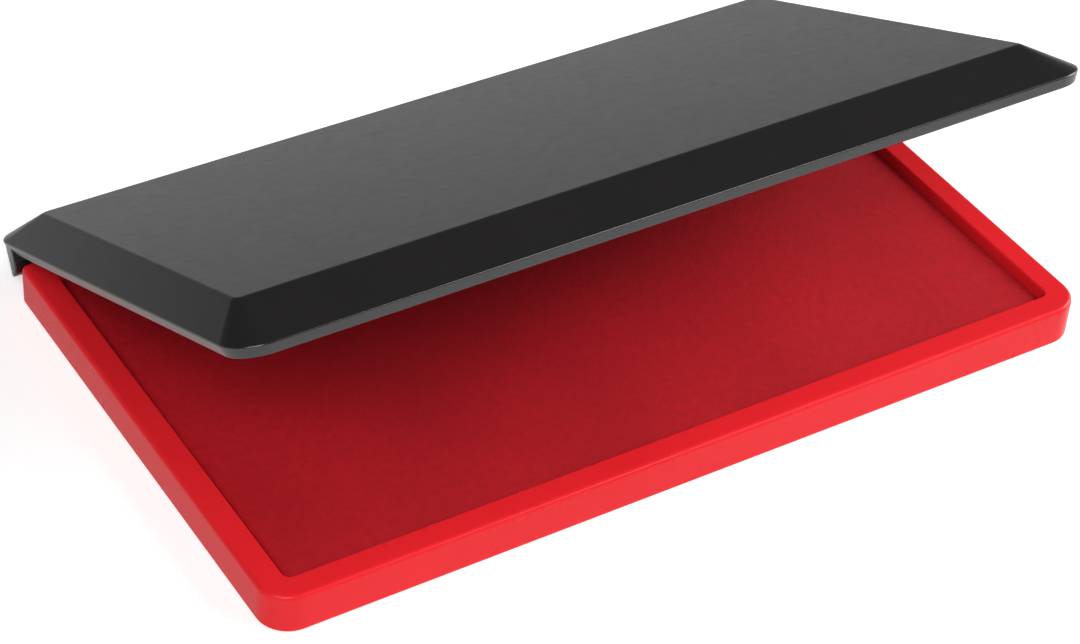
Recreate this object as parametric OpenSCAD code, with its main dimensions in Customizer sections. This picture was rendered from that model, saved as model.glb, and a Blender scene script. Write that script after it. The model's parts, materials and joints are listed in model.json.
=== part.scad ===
// Hinged ink pad: a tray that holds a cloth-covered pad, and a bevelled lid.
// Millimetres. The origin is the middle of the tray's underside.
// +X runs along the hinge, +Y points to the hinge at the back, +Z points up.

/* [Tray] */
// Length of the tray, along the hinge
tray_l = 170; // [140:1:200]
// Depth of the tray, from the front edge to the back edge
tray_w = 108; // [90:1:130]
// Height of the tray, from the table to the top of the rim
tray_h = 8; // [7.6:0.1:12]
// Radius of the outer corners, seen from above
tray_corner_r = 6; // [4.5:0.1:9]
// Width of the rim at the front and at both sides
rim_w = 5; // [4.6:0.1:9]
// Width of the rim at the back, which carries the hinge
hinge_rim_w = 13; // [11.5:0.1:18]
// Radius of the pocket's corners
pocket_corner_r = 1.5; // [0.6:0.1:3]
// Radius that softens the rim's outer top edge
rim_edge_r = 0.6; // [0.3:0.05:0.9]
// Radius that softens the bottom edge
base_edge_r = 0.5; // [0.2:0.05:0.9]
// Thickness of the outer wall
tray_wall = 1.6; // [1.2:0.1:1.8]
// Thickness of the wall round the pocket
pocket_wall = 1.4; // [1:0.1:1.8]
// Thickness of the rim's top
rim_t = 1.6; // [1.2:0.1:2.2]
// Thickness of the floor under the pad
floor_t = 1.4; // [1:0.1:1.8]
// Number of ribs across the hollow under the back rim
rib_count = 5; // [1:1:9]
// Thickness of each of those ribs
rib_t = 1.2; // [0.8:0.1:2]

/* [Lid] */
// Angle that the lid stands open, in degrees
lid_open = 25; // [0:1:90]
// Thickness of the walls
lid_wall = 1.6; // [1.2:0.1:1.8]
// Gap between the closed lid and the rim
lid_gap = 0.1; // [0.05:0.05:0.3]
// How far the widest edge stands out past the tray
lid_overhang = 0.8; // [0.3:0.1:1.2]
// Height of the undercut band below the widest edge
undercut_h = 2.2; // [1.6:0.1:3]
// Height of the upright land at the widest edge
edge_land = 0.3; // [0.1:0.05:0.6]
// Height from the bottom of that land to the top panel
bevel_h = 4.8; // [4:0.1:8]
// Width of the bevels at the two sides
side_bevel_w = 6.3; // [5:0.1:14]
// Width of the bevels at the front and the back
front_bevel_w = 11.7; // [8:0.1:20]
// Radius of the top panel's corners
panel_corner_r = 1.5; // [0.5:0.1:4]

/* [Hinge] */
// Distance of the hinge axis from the tray's back edge
hinge_back = 4.7; // [4.6:0.1:5.2]
// Depth of the hinge axis below the rim's top
hinge_down = 2.4; // [2.2:0.05:2.6]
// Radius of the stubs on the lid's ears
stub_r = 1.1; // [0.9:0.05:1.2]
// Gap all round a stub in its bore
stub_gap = 0.05; // [0.03:0.01:0.09]
// Length of each stub inside the tray
stub_in = 3; // [2:0.1:4]
// Radius of the boss that spaces each ear from the tray
boss_r = 1.9; // [1.6:0.1:2.1]
// Gap between each boss and the tray, and past each stub's end
side_gap = 0.2; // [0.1:0.05:0.4]
// Thickness of each ear
ear_t = 2; // [1.6:0.1:2.4]
// Radius of each ear's round end
ear_r = 3.7; // [3.5:0.1:4]
// How far that round end's centre lies in front of the hinge axis
ear_ahead = 0.7; // [0.4:0.1:0.9]
// How far that centre lies above the hinge axis
ear_above = 1.3; // [1:0.1:1.5]
// Width of the notch in each back corner of the tray
notch_w = 4.2; // [3.8:0.1:7]
// Gap in front of each ear in its notch
notch_gap = 0.5; // [0.4:0.1:1]

/* [Pad] */
// Gap between the pad and the pocket's wall
pad_gap = 0.5; // [0.3:0.05:0.9]
// Depth of the pad's face below the rim's top
pad_sunk = 1.4; // [1.3:0.1:1.8]
// Radius of the pad's corners, seen from above
pad_corner_r = 2; // [1.5:0.1:4]
// Radius of the soft upper edge
pad_edge_r = 1; // [0.8:0.05:1.3]
// Rise of the pad's face from its edges to its middle
pad_crown = 0.4; // [0.1:0.05:0.7]
// Width of the band along the edges where the face falls away
crown_w = 14; // [6:1:30]
// How far the sides are drawn in at the bottom
pad_tuck = 0.3; // [0.1:0.05:0.6]
// Thickness of the ink cloth
cloth_t = 0.5; // [0.3:0.05:0.7]
// Width of the cloth that is turned in under the board
hem_w = 12; // [6:0.5:20]
// Thickness of the backing board
board_t = 0.8; // [0.5:0.1:1.2]
// Gap between the cloth and what it is wrapped round
core_gap = 0.1; // [0.05:0.05:0.2]

/* [Hidden] */

$fn = 96;
lid_fn = 32;
pad_fn = 16;
edge_steps = 3;
crown_steps = 4;
eps = 0.01;
past = 1;

// Hinge axis, and the tray's nose that is round about it
hinge_y = tray_w / 2 - hinge_back;
hinge_z = tray_h - hinge_down;
nose_r = hinge_down;
nose_y = hinge_y + nose_r;

// Ears, and the notches at the back corners that they hang in
ear_x = tray_l / 2 - ear_t;
ear_y = hinge_y - ear_ahead;
ear_z = hinge_z + ear_above;
notch_x = tray_l / 2 - notch_w;
notch_y = ear_y - ear_r - notch_gap;
bore_end = notch_x - stub_in - side_gap;

// Pocket, and the pad in it
pocket_l = tray_l - 2 * rim_w;
pocket_w = tray_w - rim_w - hinge_rim_w;
pocket_y = (rim_w - hinge_rim_w) / 2;
pocket_back = pocket_y + pocket_w / 2;
pad_l = pocket_l - 2 * pad_gap;
pad_w = pocket_w - 2 * pad_gap;
pad_top = tray_h - pad_sunk;
shoulder_z = pad_top - pad_crown - pad_edge_r;
board_z = floor_t + cloth_t;
felt_z = board_z + board_t;
core_inset = cloth_t + core_gap;

// Lid, closed
lid_z = tray_h + lid_gap;
edge_z = lid_z + undercut_h;
bevel_z = edge_z + edge_land;
lid_top = edge_z + bevel_h;
slope_h = lid_top - bevel_z;
ceiling_z = lid_top - lid_wall;
lid_l = tray_l + 2 * lid_overhang;
lid_w = tray_w + 2 * lid_overhang;

// Distance from the widest edge to where a bevel's inner face meets the ceiling
function ceiling_inset(run) =
    run * (ceiling_z - bevel_z) / slope_h + lid_wall * norm([run, slope_h]) / slope_h;

// Height where a bevel's inner face meets the upright inner wall
function bevel_foot(run) =
    bevel_z + ((lid_overhang + lid_wall) * slope_h - lid_wall * norm([run, slope_h])) / run;

inner_z = min(bevel_foot(side_bevel_w), bevel_foot(front_bevel_w));

// Rectangle with round corners, centred on the origin
module round_rect(l, w, r) {
    square([l - 2 * r, w], center = true);
    square([l, w - 2 * r], center = true);
    for (x = [-1, 1], y = [-1, 1])
        translate([x * (l / 2 - r), y * (w / 2 - r)]) circle(r);
}

// Plate with round corners, h thick, from height z up
module plate(l, w, r, z, h) {
    translate([0, 0, z]) linear_extrude(h) round_rect(l, w, r);
}

// Section across a slab, w wide and h high, with softened top and bottom edges
module slab_section(w, h, top_r, base_r) {
    translate([-w / 2, base_r]) square([w, h - top_r - base_r]);
    translate([-w / 2 + top_r, h / 2]) square([w - 2 * top_r, h / 2]);
    translate([-w / 2 + base_r, 0]) square([w - 2 * base_r, h / 2]);
    for (side = [-1, 1]) {
        translate([side * (w / 2 - top_r), h - top_r]) circle(top_r);
        translate([side * (w / 2 - base_r), base_r]) circle(base_r);
    }
}

// Slab with round corners whose top and bottom edges are softened all round
module soft_slab(l, w, r, h, top_r, base_r) {
    rotate([90, 0, 0])
        linear_extrude(w - 2 * r, center = true) slab_section(l, h, top_r, base_r);
    rotate([90, 0, 90])
        linear_extrude(l - 2 * r, center = true) slab_section(w, h, top_r, base_r);
    for (x = [-1, 1], y = [-1, 1])
        translate([x * (l / 2 - r), y * (w / 2 - r), 0])
            rotate_extrude()
                intersection() {
                    slab_section(2 * r, h, top_r, base_r);
                    square([r, h]);
                }
}

// Round bar on the hinge axis, from x0 to x1
module hinge_bar(r, x0, x1) {
    translate([x0, hinge_y, hinge_z]) rotate([0, 90, 0]) cylinder(h = x1 - x0, r = r);
}

// ---------- tray ----------

// Slab of the tray, cut off behind the hinge axis and notched at the back corners
module tray_block() {
    difference() {
        soft_slab(tray_l, tray_w, tray_corner_r, tray_h, rim_edge_r, base_edge_r);
        translate([-tray_l, hinge_y, -past]) cube([2 * tray_l, tray_w, tray_h + 2 * past]);
        for (x = [-notch_x - tray_l, notch_x])
            translate([x, notch_y, -past]) cube([tray_l, tray_w, tray_h + 2 * past]);
    }
}

// Back of the tray, round about the hinge axis so that the lid's edge swings past it
module nose() {
    intersection() {
        union() {
            hinge_bar(nose_r, -notch_x, notch_x);
            translate([-notch_x, hinge_y - past, 0]) cube([2 * notch_x, past + nose_r, hinge_z]);
        }
        translate([-tray_l, hinge_y - past, 0]) cube([2 * tray_l, tray_w, tray_h]);
    }
}

// Hollow under the front and side rims, open below
module rim_hollow() {
    difference() {
        plate(tray_l - 2 * tray_wall, tray_w - 2 * tray_wall, tray_corner_r - tray_wall,
              -past, tray_h - rim_t + past);
        translate([0, pocket_y, 0])
            plate(pocket_l + 2 * pocket_wall, pocket_w + 2 * pocket_wall,
                  pocket_corner_r + pocket_wall, -2 * past, tray_h + 2 * past);
        translate([-tray_l, pocket_back, -2 * past]) cube([2 * tray_l, tray_w, tray_h + 2 * past]);
    }
}

// Hollow under the back rim, in bays between ribs, open below
module back_hollow() {
    bay_y = pocket_back + pocket_wall;
    bay_w = nose_y - tray_wall - bay_y;
    run = 2 * (bore_end - tray_wall);
    bay_l = (run - rib_count * rib_t) / (rib_count + 1);
    for (i = [0:rib_count])
        translate([-run / 2 + i * (bay_l + rib_t), bay_y, -past])
            cube([bay_l, bay_w, tray_h - rim_t + past]);
}

module tray() {
    color("#d91f28")
    difference() {
        union() {
            tray_block();
            nose();
        }
        translate([0, pocket_y, 0]) plate(pocket_l, pocket_w, pocket_corner_r, floor_t, tray_h);
        rim_hollow();
        back_hollow();
        hinge_bar(stub_r + stub_gap, -notch_x - past, -bore_end);
        hinge_bar(stub_r + stub_gap, bore_end, notch_x + past);
    }
}

// ---------- lid ----------

// Bevelled cover with an even wall, open below
module cover() {
    difference() {
        hull() {
            plate(tray_l, tray_w, tray_corner_r, lid_z, eps, $fn = lid_fn);
            plate(lid_l, lid_w, tray_corner_r + lid_overhang, edge_z, edge_land, $fn = lid_fn);
            plate(lid_l - 2 * side_bevel_w, lid_w - 2 * front_bevel_w, panel_corner_r,
                  lid_top - eps, eps, $fn = lid_fn);
        }
        hull() {
            plate(tray_l - 2 * lid_wall, tray_w - 2 * lid_wall, tray_corner_r - lid_wall,
                  lid_z - past, inner_z - lid_z + past, $fn = lid_fn);
            plate(lid_l - 2 * ceiling_inset(side_bevel_w), lid_w - 2 * ceiling_inset(front_bevel_w),
                  panel_corner_r, ceiling_z - eps, eps, $fn = lid_fn);
        }
    }
}

// Ear at the +X side, with the boss and the stub that turns in the tray
module ear() {
    intersection() {
        plate(tray_l, tray_w, tray_corner_r, 0, edge_z);
        translate([ear_x, 0, 0])
            rotate([90, 0, 90])
                linear_extrude(ear_t) {
                    translate([ear_y, ear_z]) circle(ear_r);
                    translate([ear_y - ear_r, ear_z]) square([2 * ear_r, edge_z - ear_z]);
                }
    }
    hinge_bar(boss_r, notch_x + side_gap, ear_x + eps);
    hinge_bar(stub_r, notch_x - stub_in, ear_x + eps);
}

module lid() {
    color("#3b383a")
    translate([0, hinge_y, hinge_z])
        rotate([-lid_open, 0, 0])
            translate([0, -hinge_y, -hinge_z]) {
                cover();
                ear();
                mirror([1, 0, 0]) ear();
            }
}

// ---------- pad ----------

// Outline of the pad at height z, drawn in by inset
module pad_ring(inset, z) {
    plate(pad_l - 2 * inset, pad_w - 2 * inset, pad_corner_r, z, eps, $fn = pad_fn);
}

// Form of the pad, drawn in by inset: crowned face, soft edge and drawn-in sides
module pad_form(inset, base_z) {
    edge_r = pad_edge_r - inset;
    hull() {
        pad_ring(inset + pad_tuck, base_z);
        for (i = [0:edge_steps]) {
            turn = 90 * i / edge_steps;
            pad_ring(inset + edge_r * (1 - cos(turn)), shoulder_z + edge_r * sin(turn));
        }
        for (i = [1:crown_steps]) {
            part = i / crown_steps;
            rise = pad_crown * (1 - pow(1 - part, 2));
            pad_ring(inset + edge_r + crown_w * part, shoulder_z + edge_r + rise);
        }
    }
}

module pad_cloth() {
    color("#ae2029")
    translate([0, pocket_y, 0])
        difference() {
            pad_form(0, floor_t);
            pad_form(cloth_t, board_z);
            plate(pad_l - 2 * hem_w, pad_w - 2 * hem_w, pad_corner_r, 0, board_z + past);
        }
}

module felt_core() {
    color("#7d0f1c")
    translate([0, pocket_y, 0]) pad_form(core_inset, felt_z);
}

module backing_board() {
    color("#b9a98c")
    translate([0, pocket_y, 0])
        plate(pad_l - 2 * (core_inset + pad_tuck), pad_w - 2 * (core_inset + pad_tuck),
              pad_corner_r, board_z, board_t);
}

tray();
lid();
pad_cloth();
felt_core();
backing_board();
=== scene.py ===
# %% [markdown]
# # An ink pad with its lid part open
#
# An office ink pad is a plain thing that is easy to get wrong. It has a glossy red tray,
# a lid of dark plastic with a fine dull texture, and a pad of woven cloth soaked with red
# ink. The measured solids of each piece are already there, as the frame. This lesson
# models the pieces again with soft edges, gives each its material, and lights them as a
# catalogue photograph would.

# %% Load the measured frame
import json
import math

import bmesh
import bpy
from mathutils import Matrix, Vector


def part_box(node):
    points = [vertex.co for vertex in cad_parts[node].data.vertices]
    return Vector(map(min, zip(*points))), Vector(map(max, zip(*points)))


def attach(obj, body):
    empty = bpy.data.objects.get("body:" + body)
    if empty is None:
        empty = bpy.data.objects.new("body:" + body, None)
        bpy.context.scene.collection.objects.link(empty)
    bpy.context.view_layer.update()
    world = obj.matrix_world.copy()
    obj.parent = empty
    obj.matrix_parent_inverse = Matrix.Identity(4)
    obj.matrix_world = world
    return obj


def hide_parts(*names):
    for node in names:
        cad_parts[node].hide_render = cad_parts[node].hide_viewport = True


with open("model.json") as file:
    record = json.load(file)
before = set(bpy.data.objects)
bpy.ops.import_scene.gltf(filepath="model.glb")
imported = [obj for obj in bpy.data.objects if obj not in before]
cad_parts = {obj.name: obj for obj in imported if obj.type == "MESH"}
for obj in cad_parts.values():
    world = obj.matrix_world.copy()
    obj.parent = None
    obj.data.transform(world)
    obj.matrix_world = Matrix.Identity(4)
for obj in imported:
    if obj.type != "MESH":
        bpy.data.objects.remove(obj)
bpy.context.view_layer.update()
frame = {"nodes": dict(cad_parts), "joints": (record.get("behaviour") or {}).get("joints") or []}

print("Nodes in the frame:", sorted(frame["nodes"]))

# %% [markdown]
# ## Sizes
#
# Every size comes either from the frame or from a short list of real millimetres. The
# tray's box gives the outline that the lid shares, and the joint gives the hinge axis and
# how far the lid stands open. Walls, bevels and corner radii can't be read from a box, so
# each is written in millimetres where it is first needed, as a maker's drawing gives it.

# %% Sizes of the real pieces
MM = 0.001

tray_low, tray_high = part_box("tray")
cloth_low, cloth_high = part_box("pad_cloth")

hinge = frame["joints"][0]
hinge_at = Vector(hinge["pos_m"])
lid_open = math.radians(-hinge["range_deg"][0])

side_x = tray_high.x
front_y = tray_low.y
back_y = -front_y
nose_y = tray_high.y
rim_z = tray_high.z

print(f"The tray is {2 * side_x / MM:.0f} by {(back_y - front_y) / MM:.0f} mm.")
print(f"The lid stands {math.degrees(lid_open):.0f} degrees open.")

# %% [markdown]
# ## The camera
#
# A product photographer stands above the left front corner with a long lens, so that the
# parallel edges stay nearly parallel. The lens here is that of a full-frame camera at
# about 100 mm, from a little over half a metre away. The camera leans a little, which
# lifts the right side of the picture. It is placed first, because a piece is judged from
# there while it is being made.

# %% Camera
camera_at = Vector((-246.9, -363.0, 358.3)) * MM
looks_at = Vector((-3.2, -4.2, 0)) * MM
camera_lean = math.radians(4.32)
sensor_w = 36.0
picture_w = 1080
focal_px = 3029.0
nearest = 10 * MM
farthest = 20

bpy.ops.object.camera_add(location=camera_at)
camera = bpy.context.object
camera.name = "studio_camera"
camera.data.sensor_width = sensor_w
camera.data.lens = sensor_w * focal_px / picture_w
camera.data.clip_start = nearest
camera.data.clip_end = farthest
camera.rotation_mode = "QUATERNION"
facing = (looks_at - camera_at).to_track_quat("-Z", "Y")
lean = Matrix.Rotation(camera_lean, 3, "Z")
camera.rotation_quaternion = (facing.to_matrix() @ lean).to_quaternion()
bpy.context.scene.camera = camera
print(f"The lens is {camera.data.lens:.0f} mm.")

# %% [markdown]
# ## Helpers for modelling
#
# Modelling by hand is a rhythm: add a primitive, select a few edges or faces, and press
# one key. The helpers keep that rhythm in code. The first adds a block that fills a box,
# with nothing left selected from an earlier step, because an operator acts on all that is
# selected.

# %% Helpers: add a block and open it
def add_block(name, low, high):
    """A cube stretched to fill the box from low to high, with its place in its mesh."""
    low = Vector(low)
    high = Vector(high)
    bpy.ops.object.select_all(action="DESELECT")
    bpy.ops.mesh.primitive_cube_add(size=1, location=(low + high) / 2, scale=high - low)
    bpy.ops.object.transform_apply(location=True, rotation=True, scale=True)
    block = bpy.context.object
    block.name = name
    return block


def edit(piece):
    """Makes the piece the only selected one and opens it in edit mode."""
    bpy.ops.object.select_all(action="DESELECT")
    piece.select_set(True)
    bpy.context.view_layer.objects.active = piece
    bpy.ops.object.mode_set(mode="EDIT")


def leave_edit():
    """Goes back to object mode."""
    bpy.ops.object.mode_set(mode="OBJECT")


# %% [markdown]
# By hand, edges are clicked on. In code they are chosen by a test of their place, such as
# every edge that lies flat at the height of the rim. Places are compared with a little
# slack, because a computed place is seldom exact.

# %% Helpers: select by place
def near(a, b, slack=0.01 * MM):
    """True where two places are the same to a hundredth of a millimetre."""
    return abs(a - b) < slack


def at_height(item, z):
    """True for an edge or face that lies flat at height z."""
    return all(near(vert.co.z, z) for vert in item.verts)


def is_upright(edge):
    """True for an edge that runs straight up."""
    step = edge.verts[1].co - edge.verts[0].co
    return near(step.x, 0) and near(step.y, 0)


def pick(piece, kind, wanted):
    """In edit mode, selects the verts, edges or faces that pass a test, and nothing else."""
    modes = {"verts": "VERT", "edges": "EDGE", "faces": "FACE"}
    bpy.ops.mesh.select_mode(type=modes[kind])
    bpy.ops.mesh.select_all(action="DESELECT")
    mesh = bmesh.from_edit_mesh(piece.data)
    chosen = [item for item in getattr(mesh, kind) if wanted(item)]
    for item in chosen:
        item.select_set(True)
    mesh.select_flush_mode()
    bmesh.update_edit_mesh(piece.data)
    return len(chosen)


# %% [markdown]
# Two ways of shaping do most of the work: rounding the selected edges, and cutting one
# solid with another. A modifier is applied at once, so that the next step works on the
# real mesh.

# %% Helpers: round and cut
def bevel_picked(width, segments):
    """Rounds the selected edges."""
    bpy.ops.mesh.bevel(offset=width, segments=segments, affect="EDGES", clamp_overlap=False)


def use_modifier(piece, kind, **settings):
    """Adds a modifier with its settings and applies it."""
    bpy.ops.object.select_all(action="DESELECT")
    piece.select_set(True)
    bpy.context.view_layer.objects.active = piece
    modifier = piece.modifiers.new(kind.lower(), kind)
    for name, value in settings.items():
        setattr(modifier, name, value)
    bpy.ops.object.modifier_apply(modifier=modifier.name)


def combine(piece, tool, how):
    """Cuts, joins or trims a piece with a tool, and throws the tool away."""
    use_modifier(piece, "BOOLEAN", object=tool, operation=how, solver="EXACT")
    bpy.data.objects.remove(tool)


# %% [markdown]
# ## The tray
#
# The tray is one moulding, with a notch at each back corner for one of the lid's ears. It
# starts as a block, and the order of work is the order in which a toolmaker would cut it:
# the front corners, the round back edge that the lid swings past, and then the notches. A
# cutter always reaches a millimetre past the face that it cuts, so that no skin is left.

# %% Tray: block and notches
outline_r = 6 * MM
corner_steps = 12
nose_r = nose_y - hinge_at.y
notch_w = 4.2 * MM
notch_run = 3.6 * MM
notch_x = side_x - notch_w
notch_y = hinge_at.y - notch_run
past = 1 * MM


def is_nose(edge):
    """True for the upper back edge."""
    return at_height(edge, rim_z) and all(near(v.co.y, nose_y) for v in edge.verts)


tray = add_block("tray_shell", (-side_x, front_y, 0), (side_x, nose_y, rim_z))
edit(tray)
pick(tray, "edges", lambda e: is_upright(e) and near(e.verts[0].co.y, front_y))
bevel_picked(outline_r, corner_steps)
pick(tray, "edges", is_nose)
bevel_picked(nose_r, corner_steps)
leave_edit()

for side in (-1, 1):
    edge_x = sorted((side * notch_x, side * (side_x + past)))
    notch = add_block(
        "notch_cutter", (edge_x[0], notch_y, -past), (edge_x[1], back_y + past, rim_z + past),
    )
    combine(tray, notch, "DIFFERENCE")
print("The tray's block has", len(tray.data.polygons), "faces.")

# %% [markdown]
# The rim and the foot are each rounded in one pass along the whole outline. If the notches
# were cut afterwards, these roundings would end in ragged strips. The back edge is round
# already, and the notches' inner edges get a finer rounding later, so both are left out.

# %% Tray: soft rim and foot
rim_soft = 0.9 * MM
base_soft = 0.5 * MM
notch_corner_r = 1.4 * MM
notch_corner_steps = 5
soft_steps = 4
fine_steps = 3
behind_y = hinge_at.y - 1 * MM


def in_notch_side(edge):
    """True for an edge that lies in the wall at the inner side of a notch."""
    return all(near(abs(v.co.x), notch_x) for v in edge.verts)


def on_outline(edge, z):
    """True for an outline edge at height z, without those behind the notches' front walls."""
    behind = all(v.co.y > behind_y for v in edge.verts)
    return at_height(edge, z) and not behind and not in_notch_side(edge)


def is_notch_corner(edge):
    """True for the upright edge where a notch's front wall meets the tray's side."""
    at_corner = (near(abs(v.co.x), side_x) and near(v.co.y, notch_y) for v in edge.verts)
    return is_upright(edge) and all(at_corner)


edit(tray)
pick(tray, "edges", is_notch_corner)
bevel_picked(notch_corner_r, notch_corner_steps)
pick(tray, "edges", lambda e: on_outline(e, rim_z))
bevel_picked(rim_soft, soft_steps)
pick(tray, "edges", lambda e: on_outline(e, 0))
bevel_picked(base_soft, fine_steps)
leave_edit()
print("With its soft outline the tray has", len(tray.data.polygons), "faces.")

# %% [markdown]
# The pocket takes the pad. Cutting it leaves points that almost touch, so these are merged
# before the new edges are rounded. The rounding then picks only the edges that turn
# sharply outwards, and leaves flat seams and inner corners as they are.

# %% Helpers: a rounded block, clean seams and soft edges
def rounded_block(name, low, high, radius, steps=8):
    """A block whose upright edges are rounded."""
    block = add_block(name, low, high)
    edit(block)
    pick(block, "edges", is_upright)
    bevel_picked(radius, steps)
    leave_edit()
    return block


def close_seams(piece, slack=0.004 * MM):
    """Merges points that a cut left too close together and fills the slits between them."""
    edit(piece)
    bpy.ops.mesh.select_all(action="SELECT")
    bpy.ops.mesh.remove_doubles(threshold=slack)
    pick(piece, "edges", lambda e: e.is_boundary)
    bpy.ops.mesh.fill_holes(sides=8)
    leave_edit()


def turns_sharply(edge, angle=50):
    """True for an outer edge where two faces meet at more than an angle in degrees."""
    return (
        len(edge.link_faces) == 2 and edge.is_convex
        and edge.calc_face_angle(0) > math.radians(angle)
    )


def soften(piece, width, segments, wanted):
    """Rounds the sharp outer edges that pass a test."""
    edit(piece)
    count = pick(piece, "edges", lambda e: turns_sharply(e) and wanted(e))
    bevel_picked(width, segments)
    leave_edit()
    print(f"{piece.name}: {count} edges rounded to {width / MM:.2f} mm.")


# %% Tray: pocket
rim_w = 5 * MM
hinge_rim_w = 13 * MM
floor_t = cloth_low.z
pocket_r = 1.5 * MM
pocket_x = side_x - rim_w
pocket_front = front_y + rim_w
pocket_back = back_y - hinge_rim_w
pocket_soft = 0.4 * MM
notch_soft = 0.25 * MM

pocket = rounded_block(
    "pocket_cutter",
    (-pocket_x, pocket_front, floor_t), (pocket_x, pocket_back, rim_z + past), pocket_r,
)
combine(tray, pocket, "DIFFERENCE")
close_seams(tray)
soften(
    tray, pocket_soft, soft_steps, lambda e: at_height(e, rim_z) and not in_notch_side(e),
)
soften(tray, notch_soft, fine_steps, in_notch_side)

# %% [markdown]
# Under the rim the real moulding is hollow, as every thick plastic edge is, because a solid
# one would sink as it cooled. The cutter for this is a channel: a block that fills the
# tray's inside, less the pocket with its wall, and less all that lies behind the pocket.

# %% Tray: hollow under the rim
tray_wall = 1.6 * MM
pocket_wall = 1.4 * MM
rim_t = 1.6 * MM

channel = rounded_block(
    "channel_cutter",
    (-side_x + tray_wall, front_y + tray_wall, -past),
    (side_x - tray_wall, back_y - tray_wall, rim_z - rim_t), outline_r - tray_wall,
)
inner_wall = rounded_block(
    "inner_wall_cutter",
    (-pocket_x - pocket_wall, pocket_front - pocket_wall, -2 * past),
    (pocket_x + pocket_wall, pocket_back + pocket_wall, rim_z), pocket_r + pocket_wall,
)
combine(channel, inner_wall, "DIFFERENCE")
behind = add_block("behind_cutter", (-side_x, pocket_back, -2 * past), (side_x, back_y, rim_z))
combine(channel, behind, "DIFFERENCE")
combine(tray, channel, "DIFFERENCE")
print("With its hollow the tray has", len(tray.data.polygons), "faces.")

# %% [markdown]
# The wide back rim is hollow too, and cross ribs keep it stiff where the lid pulls on it.
# The ribs are simply what is left between six equal bays. A blind bore in the inner wall
# of each notch takes one of the lid's stubs.

# %% Tray: ribs and hinge bores
rib_count = 5
rib_t = 1.2 * MM
stub_r = 1.1 * MM
stub_in = 3 * MM
side_gap = 0.2 * MM
stub_gap = 0.05 * MM


def add_bar(name, x0, x1, y, z, radius, sides=48):
    """A round bar along X, from x0 to x1, with its place in its mesh."""
    bpy.ops.object.select_all(action="DESELECT")
    bpy.ops.mesh.primitive_cylinder_add(
        vertices=sides, radius=radius, depth=x1 - x0,
        location=((x0 + x1) / 2, y, z), rotation=(0, math.pi / 2, 0),
    )
    bpy.ops.object.transform_apply(location=True, rotation=True, scale=True)
    bar = bpy.context.object
    bar.name = name
    return bar


bore_end = notch_x - stub_in - side_gap
bay_run = 2 * (bore_end - tray_wall)
bay_l = (bay_run - rib_count * rib_t) / (rib_count + 1)
for i in range(rib_count + 1):
    bay_x = -bay_run / 2 + i * (bay_l + rib_t)
    bay = add_block(
        "bay_cutter",
        (bay_x, pocket_back + pocket_wall, -past),
        (bay_x + bay_l, nose_y - tray_wall, rim_z - rim_t),
    )
    combine(tray, bay, "DIFFERENCE")

for x0, x1 in ((-notch_x - past, -bore_end), (bore_end, notch_x + past)):
    bore = add_bar("bore_cutter", x0, x1, hinge_at.y, hinge_at.z, stub_r + stub_gap)
    combine(tray, bore, "DIFFERENCE")
print("With its bays and bores the tray has", len(tray.data.polygons), "faces.")

# %% [markdown]
# No moulded edge is truly sharp. Even a fifth of a millimetre catches the light, and
# without it the tray would look like a drawing. The hollows have left sharp edges where
# the tray stands, and they come last. Smooth shading then hides the steps of every
# rounding, while flat faces stay flat.

# %% Helper: smooth shading
def smooth(piece, angle=35):
    """Smooth shading that keeps flat faces flat and sharp edges sharp."""
    bpy.ops.object.select_all(action="DESELECT")
    piece.select_set(True)
    bpy.context.view_layer.objects.active = piece
    bpy.ops.object.shade_smooth_by_angle(angle=math.radians(angle))
    use_modifier(piece, "WEIGHTED_NORMAL", keep_sharp=True, weight=100)


# %% Tray: the edges underneath
underside_soft = 0.2 * MM
underside_steps = 2

close_seams(tray)
soften(tray, underside_soft, underside_steps, lambda e: at_height(e, 0))
close_seams(tray)
smooth(tray)
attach(tray, "base")
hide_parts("tray")
print("The finished tray has", len(tray.data.polygons), "faces.")

# %% [markdown]
# ## The lid
#
# The lid is a shallow bevelled shell. Seen from above, its lower edge has corners of 6 mm
# and its flat panel has corners of only 1.5 mm, so the bevels meet in a soft fan. A fan
# like that can't come from one bevel. Instead the outline is extruded upwards, and each
# rounded corner is scaled about its own centre to the new radius and moved to its new
# place. The shell is modelled shut and turned open at the end.

# %% Lid: sizes
lid_gap = 0.1 * MM
lid_wall = 1.6 * MM
overhang = 0.8 * MM
undercut_h = 2.2 * MM
edge_land = 0.3 * MM
bevel_h = 4.8 * MM
side_run = 6.3 * MM
front_run = 11.7 * MM
panel_r = 1.5 * MM

lid_z = rim_z + lid_gap
edge_z = lid_z + undercut_h
bevel_z = edge_z + edge_land
lid_top = edge_z + bevel_h
slope_h = lid_top - bevel_z
ceiling_z = lid_top - lid_wall
print(f"Shut, the ink pad is {lid_top / MM:.1f} mm high.")


def ceiling_inset(run):
    """How far in a bevel's inner face meets the ceiling, from the widest edge."""
    return run * (ceiling_z - bevel_z) / slope_h + lid_wall * math.hypot(run, slope_h) / slope_h


def bevel_foot(run):
    """The height at which a bevel's inner face meets the upright inner wall."""
    drop = (overhang + lid_wall) * slope_h - lid_wall * math.hypot(run, slope_h)
    return bevel_z + drop / run


inner_z = min(bevel_foot(side_run), bevel_foot(front_run))

# %% [markdown]
# A ring is the outline of the lid at one height. The helper that reshapes it picks the
# points of each corner by their place, scales them about the corner's own centre and moves
# them, as one would by hand with the cursor set at that centre.

# %% Lid: corners that change their radius
class Ring:
    """A rounded rectangle at one height: its half sizes and the radius of its corners."""

    def __init__(self, half_x, half_y, radius, z):
        self.radius = radius
        self.z = z
        self.centre_x = half_x - radius
        self.centre_y = half_y - radius


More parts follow.
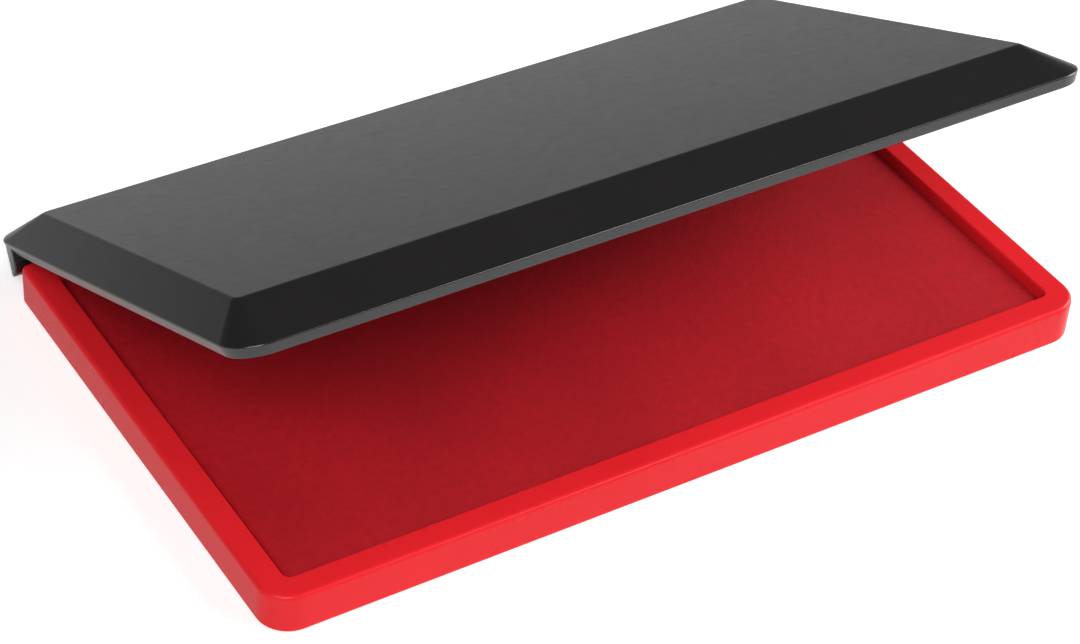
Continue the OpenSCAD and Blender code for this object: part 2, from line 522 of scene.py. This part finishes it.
def in_corner(vert, ring, sign_x, sign_y, slack):
    """True for a point of the ring that belongs to one of its four corners."""
    beyond_x = vert.co.x * sign_x > ring.centre_x - slack
    beyond_y = vert.co.y * sign_y > ring.centre_y - slack
    return near(vert.co.z, ring.z) and beyond_x and beyond_y


def reshape_corners(piece, ring, new, slack=0.1 * MM):
    """In edit mode, turns the corners of one ring into those of a new one."""
    for sx in (-1, 1):
        for sy in (-1, 1):
            centre = Vector((sx * ring.centre_x, sy * ring.centre_y, ring.z))
            goal = Vector((sx * new.centre_x, sy * new.centre_y, new.z))
            pick(piece, "verts", lambda v: in_corner(v, ring, sx, sy, slack))
            size = new.radius / ring.radius
            bpy.ops.transform.resize(value=(size, size, 1), center_override=centre)
            bpy.ops.transform.translate(value=goal - centre)


def extrude_picked(rise):
    """Extrudes the selected faces straight up."""
    bpy.ops.mesh.extrude_region_move(TRANSFORM_OT_translate={"value": (0, 0, rise)})


# %% Lid: outside
lower_ring = Ring(side_x, back_y, outline_r, edge_z)
wide_ring = Ring(side_x + overhang, back_y + overhang, outline_r + overhang, edge_z)
raised_ring = Ring(side_x + overhang, back_y + overhang, outline_r + overhang, lid_top)
panel_ring = Ring(
    side_x + overhang - side_run, back_y + overhang - front_run, panel_r, lid_top,
)

lid = rounded_block(
    "lid_shell", (-side_x, front_y, lid_z), (side_x, back_y, edge_z), outline_r, corner_steps,
)
edit(lid)
reshape_corners(lid, lower_ring, wide_ring)
pick(lid, "faces", lambda f: at_height(f, edge_z))
extrude_picked(bevel_h)
reshape_corners(lid, raised_ring, panel_ring)
print(f"The flat panel is {2 * (side_x + overhang - side_run) / MM:.1f} mm long.")

# %% [markdown]
# The inside follows the outside at the thickness of the wall. The bottom face is inset by
# that thickness and pushed up twice: first along the upright wall, then to the ceiling,
# where its corners take the panel's radius.

# %% Lid: inside
wall_ring = Ring(side_x - lid_wall, back_y - lid_wall, outline_r - lid_wall, ceiling_z)
ceiling_ring = Ring(
    side_x + overhang - ceiling_inset(side_run),
    back_y + overhang - ceiling_inset(front_run), panel_r, ceiling_z,
)
pick(lid, "faces", lambda f: at_height(f, lid_z))
bpy.ops.mesh.inset(thickness=lid_wall, depth=0)
pick(lid, "faces", lambda f: at_height(f, lid_z) and len(f.verts) > 4)
extrude_picked(inner_z - lid_z)
extrude_picked(ceiling_z - inner_z)
reshape_corners(lid, wall_ring, ceiling_ring)
print(f"Inside, the lid is {(ceiling_z - lid_z) / MM:.1f} mm deep.")

# %% [markdown]
# The edges decide how the lid reads. The rim of the panel has half a millimetre of
# roundness, which leaves it crisp and still catches the light. The widest edge is finer,
# and in the photograph it draws a thin line round the lid. Inside, the ceiling meets the
# walls in a wide hollow curve, so that the plastic flows well in the mould.

# %% Lid: soft edges
panel_soft = 0.5 * MM
wide_soft = 0.35 * MM
foot_soft = 0.3 * MM
inside_soft = 0.8 * MM

pick(lid, "edges", lambda e: at_height(e, lid_top))
bevel_picked(panel_soft, soft_steps)
pick(lid, "edges", lambda e: at_height(e, edge_z))
bevel_picked(wide_soft, soft_steps)
pick(lid, "edges", lambda e: at_height(e, lid_z))
bevel_picked(foot_soft, fine_steps)
pick(lid, "edges", lambda e: at_height(e, ceiling_z))
bevel_picked(inside_soft, soft_steps)
leave_edit()
print("The lid's shell has", len(lid.data.polygons), "faces.")

# %% [markdown]
# An ear hangs from each back corner into the tray's notch, and carries a stub that snaps
# into the tray. The ear's lower end is round about a centre just above the hinge. A bar
# cut in half gives that end, and its cut face is extruded up into the lid's wall. The ear
# stands half a millimetre out from the tray's side, within the lid's widest edge, and it
# is trimmed to an outline of that size so that it follows the lid's corner.

# %% Lid: one ear with its boss and stub
ear_t = 2 * MM
ear_r = 3.7 * MM
ear_y = hinge_at.y + 0.5 * MM
ear_z = hinge_at.z + 1.3 * MM
ear_x = side_x - ear_t
boss_r = 1.9 * MM
ear_soft = 0.3 * MM
ear_out = 0.5 * MM
ear_sides = 64
ear_seam = 0.08 * MM
sink = 0.05 * MM


def make_ear(name):
    """The ear at the +X side, with its boss and stub."""
    ear = add_bar(name, ear_x, side_x + ear_out, ear_y, ear_z, ear_r, ear_sides)
    edit(ear)
    bpy.ops.mesh.select_all(action="SELECT")
    bpy.ops.mesh.bisect(
        plane_co=(0, 0, ear_z), plane_no=(0, 0, 1), use_fill=True, clear_outer=True,
    )
    pick(ear, "faces", lambda f: at_height(f, ear_z))
    extrude_picked(edge_z - sink - ear_z)
    leave_edit()
    outline = rounded_block(
        "outline_cutter",
        (-side_x - ear_out, front_y, 0), (side_x + ear_out, back_y + ear_out, lid_top),
        outline_r + ear_out, corner_steps,
    )
    combine(ear, outline, "INTERSECT")
    close_seams(ear, ear_seam)
    soften(ear, ear_soft, fine_steps, lambda e: not at_height(e, edge_z - sink))
    boss = add_bar("boss", notch_x + side_gap, ear_x + sink, hinge_at.y, hinge_at.z, boss_r)
    combine(ear, boss, "UNION")
    stub = add_bar("stub", notch_x - stub_in, ear_x + sink, hinge_at.y, hinge_at.z, stub_r)
    soften(stub, ear_soft, fine_steps, lambda e: True)
    combine(ear, stub, "UNION")
    return ear


# %% [markdown]
# The other ear is the same piece again, mirrored. Mirroring turns a mesh inside out, so its
# faces are flipped back. With both ears joined on, the lid is turned open about the hinge,
# and its place goes into its mesh.

# %% Lid: both ears, and turned open
def mirror_across(piece):
    """Mirrors a piece to the other side and turns its faces outwards again."""
    piece.data.transform(Matrix.Scale(-1, 4, (1, 0, 0)))
    piece.data.flip_normals()


combine(lid, make_ear("right_ear"), "UNION")
left_ear = make_ear("left_ear")
mirror_across(left_ear)
combine(lid, left_ear, "UNION")
close_seams(lid)

swing = (
    Matrix.Translation(hinge_at)
    @ Matrix.Rotation(-lid_open, 4, "X")
    @ Matrix.Translation(-hinge_at)
)
lid.data.transform(swing)
smooth(lid)
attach(lid, "cover")
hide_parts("lid")
print("The finished lid has", len(lid.data.polygons), "faces.")

# %% [markdown]
# ## The pad
#
# The pad is cotton cloth pulled tight over felt and turned in under a board. A tight
# cloth has no folds to simulate. What it has is a face that falls away softly towards its
# edges, a round upper edge, sides that draw in below, and a faint unevenness where the
# felt gives. So it starts as a fine grid, gets its sides and its turned-in hem by
# extruding, and is then shaped point by point.

# %% Pad: grid, sides and turned-in hem
cloth_cell = 3.2 * MM
cloth_edge_r = 1 * MM
hem_w = 12 * MM
cloth_size = cloth_high - cloth_low
cloth_mid = (cloth_high + cloth_low) / 2

bpy.ops.object.select_all(action="DESELECT")
bpy.ops.mesh.primitive_grid_add(
    x_subdivisions=round(cloth_size.x / cloth_cell),
    y_subdivisions=round(cloth_size.y / cloth_cell),
    size=1, location=(cloth_mid.x, cloth_mid.y, cloth_high.z),
)
cloth = bpy.context.object
cloth.name = "ink_cloth"
cloth.scale = (cloth_size.x, cloth_size.y, 1)
bpy.ops.object.transform_apply(location=True, rotation=True, scale=True)

edit(cloth)
pick(cloth, "edges", lambda e: e.is_boundary)
extrude_picked(cloth_low.z - cloth_high.z)
bpy.ops.mesh.extrude_region_move()
bpy.ops.transform.resize(
    value=(1 - 2 * hem_w / cloth_size.x, 1 - 2 * hem_w / cloth_size.y, 1),
    center_override=cloth_mid,
)


def is_upper_rim(edge):
    """True for an edge between the cloth's face and its sides."""
    slopes = [abs(face.normal.z) for face in edge.link_faces]
    return at_height(edge, cloth_high.z) and len(slopes) == 2 and min(slopes) < 0.5 < max(slopes)


pick(cloth, "edges", is_upper_rim)
bevel_picked(cloth_edge_r, soft_steps)
leave_edit()
use_modifier(cloth, "SUBSURF", levels=2, render_levels=2, subdivision_type="SIMPLE")
print("The cloth has", len(cloth.data.polygons), "faces before it is shaped.")

# %% [markdown]
# Each of the pad's soft forms is one small rule that moves a point. The waves on its face
# are only a twentieth of a millimetre high, and the face is first lowered by a little more
# than that, so that no wave rises above the measured height.

# %% Pad: crown, drawn-in sides and a faint unevenness
crown = 0.4 * MM
crown_w = 14 * MM
tuck = 0.3 * MM
cloth_r = 2 * MM
wave_h = 0.05 * MM
long_wave = (11 * MM, 9 * MM)
short_wave = (5 * MM, 7 * MM)
face_dip = 0.08 * MM
shoulder_z = cloth_high.z - crown - cloth_edge_r


def edge_distance(place):
    """How far a point lies in from the nearest side of the pad."""
    return min(
        cloth_size.x / 2 - abs(place.x),
        cloth_size.y / 2 - abs(place.y - cloth_mid.y),
    )


def unevenness(place):
    """Long shallow waves with shorter ones across them, where the felt gives."""
    wave_a = math.sin(place.x / long_wave[0]) * math.sin(place.y / long_wave[1] + 1)
    wave_b = math.sin(place.x / short_wave[0] + place.y / short_wave[1])
    return wave_h * (wave_a + 0.5 * wave_b)


def round_corner(place):
    """Moves a point near a square corner so that the corner becomes round."""
    x = abs(place.x) - (cloth_size.x / 2 - cloth_r)
    y = abs(place.y - cloth_mid.y) - (cloth_size.y / 2 - cloth_r)
    if x <= 0 or y <= 0:
        return
    pull = max(x, y) / math.hypot(x, y)
    place.x -= math.copysign(x * (1 - pull), place.x)
    place.y -= math.copysign(y * (1 - pull), place.y - cloth_mid.y)


def sink_face(place):
    """Lets the cloth's face fall away towards the edges and dip where the felt gives."""
    inwards = min(1, max(0, edge_distance(place) - cloth_edge_r) / crown_w)
    high_up = min(1, (place.z - shoulder_z) / cloth_edge_r)
    dip = inwards * (face_dip - unevenness(place))
    place.z -= high_up * (crown * (1 - inwards) ** 2 + dip)


def draw_in_side(place):
    """Draws a side in towards its lower edge."""
    draw_in = tuck * (shoulder_z - place.z) / (shoulder_z - cloth_low.z)
    place.x *= 1 - draw_in / (cloth_size.x / 2)
    place.y -= (place.y - cloth_mid.y) * draw_in / (cloth_size.y / 2)


for vert in cloth.data.vertices:
    if vert.co.z > shoulder_z:
        sink_face(vert.co)
    else:
        draw_in_side(vert.co)
    round_corner(vert.co)
print(f"The face falls away by {crown / MM:.1f} mm over {crown_w / MM:.0f} mm.")

# %% [markdown]
# The shaped sheet gets the thickness of the cloth, on its inner side, so that its outer
# face stays where it is.

# %% Pad: thickness
cloth_t = 0.5 * MM

use_modifier(cloth, "SOLIDIFY", thickness=cloth_t, offset=-1, use_even_offset=True)
smooth(cloth, angle=60)
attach(cloth, "base")
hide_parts("pad_cloth")
print("The finished cloth has", len(cloth.data.polygons), "faces.")

# %% [markdown]
# ## Helpers for materials
#
# A colour in a paint program is stored as the eye sees it, and a shader wants the amount
# of light. One function turns the first into the second. Another adds a node with its
# settings and its links, so that a material reads from top to bottom as a recipe.

# %% Helpers: colour and nodes
def linear(code):
    """Turns an sRGB hex colour into the linear colour that a shader takes."""
    steps = [int(code[i:i + 2], 16) / 255 for i in (0, 2, 4)]
    light = [s / 12.92 if s <= 0.04045 else ((s + 0.055) / 1.055) ** 2.4 for s in steps]
    return (*light, 1)


def add_node(tree, kind, inputs=None, **settings):
    """Adds a node. An input is a plain value or the output of another node."""
    node = tree.nodes.new(kind)
    for name, value in settings.items():
        setattr(node, name, value)
    for name, value in (inputs or {}).items():
        if isinstance(value, bpy.types.NodeSocket):
            tree.links.new(value, node.inputs[name])
        else:
            node.inputs[name].default_value = value
    return node


def new_material(name):
    """An empty material: its node tree and the output node."""
    material = bpy.data.materials.new(name)
    material.use_nodes = True
    tree = material.node_tree
    tree.nodes.clear()
    return material, tree, add_node(tree, "ShaderNodeOutputMaterial")


def set_material(piece, *materials):
    """Gives a piece these materials in place of any that it has."""
    piece.data.materials.clear()
    for material in materials:
        piece.data.materials.append(material)
        print(f"{piece.name} gets {material.name}.")


def mix_colours(tree, factor, first, second):
    """Blends two colours. The Mix node's colour sockets have the numbers 6, 7 and 2."""
    blend = add_node(tree, "ShaderNodeMix", {0: factor, 6: first, 7: second}, data_type="RGBA")
    return blend.outputs[2]


def spread(tree, value, low, high):
    """Stretches a 0 to 1 value to the range from low to high."""
    node = add_node(tree, "ShaderNodeMapRange", {"Value": value, "To Min": low, "To Max": high})
    return node.outputs["Result"]


# %% [markdown]
# ## Red polystyrene
#
# The tray is injection-moulded polystyrene, coloured right through. The steel mould was
# polished, so the surface is glossy, but never like glass: the plastic shrinks a little
# as it cools and leaves a slow, shallow waviness that bends the reflections. Handling
# leaves faint dull patches. The waves are about 6 mm long and the patches 22 mm. The grain
# of the polish is drawn at 0.4 mm, coarser than life, so that it just shows from here.

# %% Material: moulded red polystyrene
def moulded_red_polystyrene():
    """Glossy red plastic with shallow waves, a fine grain and dull patches."""
    wave_l = 6 * MM
    grain_l = 0.4 * MM
    patch_l = 22 * MM
    material, tree, output = new_material("moulded_red_polystyrene")
    place = add_node(tree, "ShaderNodeTexCoord").outputs["Object"]
    waves = add_node(
        tree, "ShaderNodeTexNoise", {"Vector": place, "Scale": 1 / wave_l, "Detail": 2},
    )
    grain = add_node(
        tree, "ShaderNodeTexNoise", {"Vector": place, "Scale": 1 / grain_l, "Detail": 3},
    )
    wear = add_node(
        tree, "ShaderNodeTexNoise", {"Vector": place, "Scale": 1 / patch_l, "Detail": 5},
    )
    colour = mix_colours(tree, wear.outputs[0], linear("E42028"), linear("F02830"))
    low_bump = add_node(
        tree, "ShaderNodeBump",
        {"Height": waves.outputs[0], "Strength": 0.15, "Distance": 0.05 * MM},
    )
    fine_bump = add_node(
        tree, "ShaderNodeBump",
        {"Height": grain.outputs[0], "Strength": 0.2, "Distance": 0.01 * MM,
         "Normal": low_bump.outputs[0]},
    )
    shader = add_node(
        tree, "ShaderNodeBsdfPrincipled",
        {"Base Color": colour, "IOR": 1.45, "Specular IOR Level": 0.22,
         "Roughness": spread(tree, wear.outputs[0], 0.22, 0.34),
         "Normal": fine_bump.outputs[0]},
    )
    tree.links.new(shader.outputs[0], output.inputs["Surface"])
    return material


set_material(tray, moulded_red_polystyrene())

# %% [markdown]
# ## Charcoal ABS
#
# The lid is ABS from a mould that was etched by sparks. That gives it a fine, even grain,
# which scatters reflections and makes the plastic look dry and grey where it faces pale
# surroundings. Real spark grain is about 0.1 mm, too fine to show here, so it is drawn at
# 0.45 mm, with pits at 0.7 mm, and kept shallow. The undercut and the inside were left
# smoother, so those faces have their own, slightly shinier version. They are found by
# turning each face's middle and normal shut again and asking where they lie.

# %% Material: charcoal ABS
def charcoal_abs(name, low_rough, high_rough, grain_depth, gloss):
    """Dark plastic with a fine grain, shallow pits and faint clouds and rubbed spots."""
    grain_l = 0.45 * MM
    pit_l = 0.7 * MM
    cloud_l = 18 * MM
    rubbed_l = 2.5 * MM
    depth = 0.03 * MM
    material, tree, output = new_material(name)
    place = add_node(tree, "ShaderNodeTexCoord").outputs["Object"]
    grain = add_node(
        tree, "ShaderNodeTexNoise", {"Vector": place, "Scale": 1 / grain_l, "Detail": 4},
    )
    pits = add_node(tree, "ShaderNodeTexVoronoi", {"Vector": place, "Scale": 1 / pit_l})
    cloudy = add_node(
        tree, "ShaderNodeTexNoise", {"Vector": place, "Scale": 1 / cloud_l, "Detail": 6},
    )
    rubbed = add_node(
        tree, "ShaderNodeTexNoise", {"Vector": place, "Scale": 1 / rubbed_l, "Detail": 3},
    )
    tone = mix_colours(tree, cloudy.outputs[0], linear("181617"), linear("1F1D1E"))
    speck = spread(tree, grain.outputs[0], -0.1, 0.35)
    colour = mix_colours(tree, speck, tone, linear("322F2E"))
    grain_bump = add_node(
        tree, "ShaderNodeBump",
        {"Height": grain.outputs[0], "Strength": grain_depth, "Distance": depth},
    )
    pit_bump = add_node(
        tree, "ShaderNodeBump",
        {"Height": pits.outputs[0], "Strength": grain_depth / 2, "Distance": depth,
         "Normal": grain_bump.outputs[0]},
    )
    shader = add_node(
        tree, "ShaderNodeBsdfPrincipled",
        {"Base Color": colour, "IOR": 1.52, "Specular IOR Level": gloss,
         "Roughness": spread(tree, rubbed.outputs[0], low_rough, high_rough),
         "Normal": pit_bump.outputs[0]},
    )
    tree.links.new(shader.outputs[0], output.inputs["Surface"])
    return material


textured_abs = charcoal_abs(
    "spark_etched_charcoal_abs", low_rough=0.28, high_rough=0.38, grain_depth=0.5, gloss=0.32,
)
smooth_abs = charcoal_abs(
    "smooth_charcoal_abs", low_rough=0.14, high_rough=0.22, grain_depth=0.12, gloss=0.75,
)
set_material(lid, textured_abs, smooth_abs)

# %% Lid: which faces are etched
least_tilt = 0.05
etched_from = edge_z - 0.1 * MM
undo_swing = swing.inverted()


def is_etched(face):
    """True for a face that looks up from the shut lid, at or above its widest edge."""
    looks_up = (undo_swing.to_3x3() @ face.normal).z > least_tilt
    return looks_up and (undo_swing @ face.center).z > etched_from


for face in lid.data.polygons:
    face.material_index = 0 if is_etched(face) else 1
print(sum(face.material_index == 0 for face in lid.data.polygons), "faces are etched.")

# %% [markdown]
# ## Inked cotton
#
# The cloth is a plain weave: each thread goes over one and under the next. Two ripples,
# one for each direction, give the threads, and a checker decides which of them lies on
# top. Real threads are about 0.5 mm apart, and they are drawn at 0.7 mm so that they show
# as a fine grain. They wander a little, as threads do when cloth is pulled tight. Ink
# soaks in unevenly, so the colour drifts from a brighter to a deeper red over a few
# centimetres, with darker flecks of 1.6 mm, and it has a slight wet sheen. The valleys
# between the threads are darkened in the colour, as painted shade.

# %% Material: inked cotton
def ripple(tree, along, thread):
    """Rounded threads side by side: the height of the cloth along one direction."""
    turn = add_node(
        tree, "ShaderNodeMath", {0: along, 1: math.pi / thread}, operation="MULTIPLY",
    )
    wave = add_node(tree, "ShaderNodeMath", {0: turn.outputs[0]}, operation="SINE")
    ridge = add_node(tree, "ShaderNodeMath", {0: wave.outputs[0]}, operation="ABSOLUTE")
    return ridge.outputs[0]


def inked_cotton():
    """Plain-woven cotton with a fuzz of fibres, soaked unevenly with red ink."""
    thread = 0.7 * MM
    wander_l = 4 * MM
    wander_by = (0.25 * MM, 0.25 * MM, 0)
    fuzz_l = 0.3 * MM
    soaked_l = 28 * MM
    fleck_l = 1.6 * MM
    material, tree, output = new_material("inked_cotton")
    place = add_node(tree, "ShaderNodeTexCoord").outputs["Object"]
    wander = add_node(
        tree, "ShaderNodeTexNoise", {"Vector": place, "Scale": 1 / wander_l, "Detail": 2},
    )
    shift = add_node(
        tree, "ShaderNodeVectorMath",
        {0: wander.outputs["Color"], 1: wander_by}, operation="MULTIPLY",
    )
    bent = add_node(
        tree, "ShaderNodeVectorMath", {0: place, 1: shift.outputs[0]}, operation="ADD",
    )
    axes = add_node(tree, "ShaderNodeSeparateXYZ", {0: bent.outputs[0]})
    warp = ripple(tree, axes.outputs["X"], thread)
    weft = ripple(tree, axes.outputs["Y"], thread)
    over = add_node(
        tree, "ShaderNodeTexChecker", {"Vector": bent.outputs[0], "Scale": 1 / thread},
    )
    weave = add_node(
        tree, "ShaderNodeMix", {0: over.outputs["Fac"], 2: warp, 3: weft}, data_type="FLOAT",
    )
    height = weave.outputs[0]
    fuzz = add_node(
        tree, "ShaderNodeTexNoise", {"Vector": place, "Scale": 1 / fuzz_l, "Detail": 4},
    )
    soaked = add_node(
        tree, "ShaderNodeTexNoise", {"Vector": place, "Scale": 1 / soaked_l, "Detail": 5},
    )
    ink = mix_colours(tree, soaked.outputs[0], linear("A60C1A"), linear("D21824"))
    flecks = add_node(
        tree, "ShaderNodeTexNoise", {"Vector": place, "Scale": 1 / fleck_l, "Detail": 2},
    )
    fleck = spread(tree, flecks.outputs[0], -0.25, 0.55)
    flecked = mix_colours(tree, fleck, ink, linear("8A0A16"))
    # Painted shade: the colour is darkened towards 6A060F where the weave is low, between the
    # threads.
    painted_valley_shade = spread(tree, height, 0.25, 0)
    colour = mix_colours(tree, painted_valley_shade, flecked, linear("6A060F"))
    weave_bump = add_node(
        tree, "ShaderNodeBump", {"Height": height, "Strength": 0.4, "Distance": 0.08 * MM},
    )
    fuzz_bump = add_node(
        tree, "ShaderNodeBump",
        {"Height": fuzz.outputs[0], "Strength": 0.4, "Distance": 0.05 * MM,
         "Normal": weave_bump.outputs[0]},
    )
    shader = add_node(
        tree, "ShaderNodeBsdfPrincipled",
        {"Base Color": colour, "Normal": fuzz_bump.outputs[0], "IOR": 1.4,
         "Roughness": spread(tree, fuzz.outputs[0], 0.6, 0.85),
         "Specular IOR Level": 0.3, "Sheen Weight": 0.04, "Sheen Roughness": 0.4},
    )
    tree.links.new(shader.outputs[0], output.inputs["Surface"])
    return material


set_material(cloth, inked_cotton())

# %% [markdown]
# ## Felt and board
#
# These two are hidden under the cloth and keep their measured solids. They still get a
# finish, because the part may be taken apart. Felt is matted fibre with no direction, and
# the board is pulp pressed flat, so one recipe serves both, with fibre clumps of 0.8 mm
# in the felt and 1.5 mm in the board.

# %% Materials: inked felt and grey board
def fibrous(name, dark, light, fibre, rough):
    """Matted fibres in two tones."""
    material, tree, output = new_material(name)
    place = add_node(tree, "ShaderNodeTexCoord").outputs["Object"]
    fibres = add_node(
        tree, "ShaderNodeTexNoise",
        {"Vector": place, "Scale": 1 / fibre, "Detail": 8, "Roughness": 0.7, "Distortion": 1.5},
    )
    bump = add_node(
        tree, "ShaderNodeBump",
        {"Height": fibres.outputs[0], "Strength": 0.5, "Distance": 0.1 * MM},
    )
    shader = add_node(
        tree, "ShaderNodeBsdfPrincipled",
        {"Base Color": mix_colours(tree, fibres.outputs[0], linear(dark), linear(light)),
         "Roughness": rough, "Normal": bump.outputs[0]},
    )
    tree.links.new(shader.outputs[0], output.inputs["Surface"])
    return material


felt = fibrous("inked_felt", "5C0812", "8A1422", fibre=0.8 * MM, rough=0.9)
board = fibrous("pressed_grey_board", "8F8672", "BDB39C", fibre=1.5 * MM, rough=0.8)
set_material(frame["nodes"]["felt_core"], felt)
set_material(frame["nodes"]["backing_board"], board)

# %% [markdown]
# ## The table
#
# A catalogue photograph stands its object on white that has no visible edge. The table
# here is a large pale plane, a hair's breadth under the tray. It is matt, so it takes the
# object's shadow, and to the camera it also glows: fully white far away and less so near
# the object, where the shadow has to show. Reflections see only a tenth of that glow, so
# that the lid stays dark.

# %% Table
table_w = 6
table_z = -0.1 * MM
near_glow = 0.45
near_r = 0.2
far_r = 0.9
mirrored_glow = 0.1

bpy.ops.object.select_all(action="DESELECT")
bpy.ops.mesh.primitive_plane_add(size=table_w, location=(0, 0, table_z))
floor = bpy.context.object
floor.name = "table_top"


def white_table():
    """Matt white that glows for the camera, most where it is far from the object."""
    material, tree, output = new_material("white_table")
    rays = add_node(tree, "ShaderNodeLightPath")
    paint = add_node(tree, "ShaderNodeBsdfDiffuse", {"Color": linear("F4F4F4")})
    seen = add_node(
        tree, "ShaderNodeMath",
        {0: rays.outputs["Is Camera Ray"], 1: rays.outputs["Is Transmission Ray"]},
        operation="MAXIMUM",
    )
    place = add_node(tree, "ShaderNodeTexCoord").outputs["Object"]
    distance = add_node(tree, "ShaderNodeVectorMath", {0: place}, operation="LENGTH")
    far_away = add_node(
        tree, "ShaderNodeMapRange",
        {"Value": distance.outputs["Value"], "From Min": near_r, "From Max": far_r,
         "To Min": near_glow, "To Max": 1},
    )
    direct = add_node(
        tree, "ShaderNodeMath", {0: seen.outputs[0], 1: far_away.outputs[0]},
        operation="MULTIPLY",
    )
    mirrored = add_node(
        tree, "ShaderNodeMath", {0: rays.outputs["Is Glossy Ray"], 1: mirrored_glow},
        operation="MULTIPLY",
    )
    lift = add_node(
        tree, "ShaderNodeMath", {0: direct.outputs[0], 1: mirrored.outputs[0]},
        operation="MAXIMUM",
    )
    white = (1, 1, 1, 1)
    glow = add_node(tree, "ShaderNodeEmission", {"Color": white, "Strength": lift.outputs[0]})
    bright = add_node(tree, "ShaderNodeAddShader", {0: paint.outputs[0], 1: glow.outputs[0]})
    tree.links.new(bright.outputs[0], output.inputs["Surface"])
    return material


set_material(floor, white_table())

# %% [markdown]
# ## The light
#
# Three lamps light the object. A large softbox high at the left front is the main one, and
# the tray's left side has no other. A lower one at the right brightens the front side and
# the right half of the pad and of the lid's panel. A small one at the front right draws
# the light line along the tray's front edge. The rest of the room is dim, which keeps the
# lid's bevels nearly black.

# %% Lamps and room
room_level = 0.12


def add_softbox(name, place, width, height, watts):
    """A soft rectangular lamp that points from its place at the object."""
    bpy.ops.object.light_add(type="AREA", location=place)
    lamp = bpy.context.object
    lamp.name = name
    lamp.data.shape = "RECTANGLE"
    lamp.data.size = width
    lamp.data.size_y = height
    lamp.data.energy = watts
    lamp.rotation_mode = "QUATERNION"
    lamp.rotation_quaternion = (-Vector(place)).to_track_quat("-Z", "Y")
    print(f"{name} stands {Vector(place).length:.2f} m away and gives {watts} W.")


add_softbox("left_softbox", (-0.6, -0.6, 0.82), width=0.8, height=0.6, watts=8.8)
add_softbox("right_softbox", (0.93, -0.17, 0.42), width=0.65, height=0.75, watts=10)
add_softbox("front_softbox", (0.48, -0.7, 0.7), width=0.26, height=0.26, watts=1.7)

world = bpy.data.worlds.new("studio_room")
bpy.context.scene.world = world
world.use_nodes = True
room = world.node_tree
room.nodes.clear()
room_output = add_node(room, "ShaderNodeOutputWorld")
room_light = add_node(
    room, "ShaderNodeBackground", {"Color": (1, 1, 1, 1), "Strength": room_level},
)
room.links.new(room_light.outputs[0], room_output.inputs["Surface"])
bpy.context.scene.view_settings.view_transform = "Standard"
